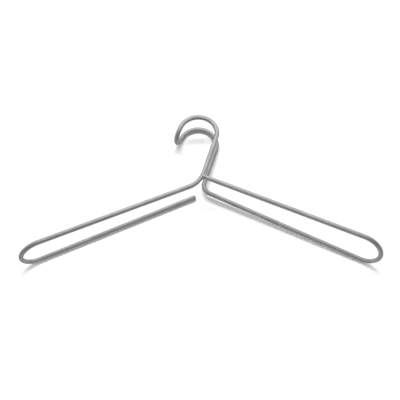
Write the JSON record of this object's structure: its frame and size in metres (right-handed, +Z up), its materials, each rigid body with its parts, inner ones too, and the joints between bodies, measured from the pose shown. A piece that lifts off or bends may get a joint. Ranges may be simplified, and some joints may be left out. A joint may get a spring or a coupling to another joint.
{
  "type": "trouser hanger",
  "caption": "Trouser hanger bent from one length of round steel rod: a double hook, two long narrow loops as arms, one of them open at the middle to slide trousers on.",
  "frame": {"origin": "on the floor under the middle of the hanger's outline, as it lies on its back", "axes": "+X to the right along the two arms, +Y from the arms towards the hook, +Z up from the floor, from the rear bars to the front bars"},
  "size_m": [0.456, 0.2084, 0.0542],
  "materials": {
    "rod": "satin",
    "weld": "ground matt"
  },
  "bodies": {
    "root": {"left_rear_bar": "rod", "left_end_bend": "rod", "left_front_bar": "rod", "shoulder_bend": "rod", "front_neck": "rod", "hook_front_arc": "rod", "hook_tip_bend": "rod", "hook_rear_arc": "rod", "rear_neck": "rod", "neck_foot_bend": "rod", "right_rear_bar": "rod", "right_end_bend": "rod", "right_front_bar": "rod", "bar_end_weld": "weld"}
  },
  "joints": []
}
